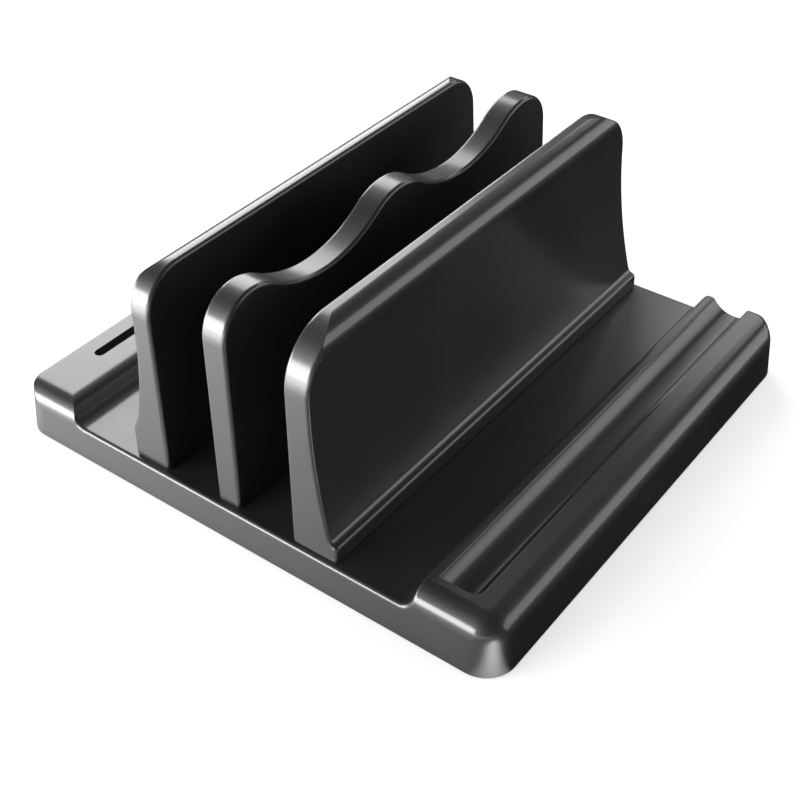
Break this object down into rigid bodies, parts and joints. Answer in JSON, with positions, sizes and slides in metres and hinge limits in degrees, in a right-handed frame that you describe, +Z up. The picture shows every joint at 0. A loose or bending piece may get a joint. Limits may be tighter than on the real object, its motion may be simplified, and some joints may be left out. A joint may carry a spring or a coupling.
{
  "type": "vertical laptop stand",
  "caption": "Desktop stand that holds closed laptops on edge between sliding uprights, on a tray with a slotted side block and a rounded pen groove.",
  "frame": {"origin": "desk level under the middle of the tray", "axes": "+X runs across the laptop bays from the slotted block to the pen groove rail, -Y is the front edge, +Z is up"},
  "size_m": [0.2, 0.1912, 0.0909],
  "materials": {
    "body": "smooth moulded black plastic with a soft satin shine",
    "cover": "fine grained black moulding",
    "steel": "zinc plated screw steel",
    "brass": "turned and knurled insert",
    "rubber": "matt, slightly soft"
  },
  "bodies": {
    "stand": {"base": "body", "bottom_cover": "cover", "middle_upright": "body", "middle_front_screw": "steel", "middle_rear_screw": "steel", "cover_screw_1": "steel", "cover_screw_2": "steel", "cover_screw_3": "steel", "cover_screw_4": "steel", "cover_screw_5": "steel", "cover_screw_6": "steel", "rubber_foot_1": "rubber", "rubber_foot_2": "rubber", "rubber_foot_3": "rubber", "rubber_foot_4": "rubber"},
    "left_carriage": {"left_upright": "body", "left_front_clamp_screw": "steel", "left_rear_clamp_screw": "steel", "left_front_clamp_washer": "steel", "left_rear_clamp_washer": "steel", "left_front_insert": "brass", "left_rear_insert": "brass"},
    "right_carriage": {"right_upright": "body", "right_front_clamp_screw": "steel", "right_rear_clamp_screw": "steel", "right_front_clamp_washer": "steel", "right_rear_clamp_washer": "steel", "right_front_insert": "brass", "right_rear_insert": "brass"}
  },
  "joints": [
    {"name": "left_upright_slide", "type": "slide", "parent": "stand", "child": "left_carriage", "axis": [1, 0, 0], "range_m": [0, 0.0098]},
    {"name": "right_upright_slide", "type": "slide", "parent": "stand", "child": "right_carriage", "axis": [-1, 0, 0], "range_m": [0, 0.0103]}
  ]
}
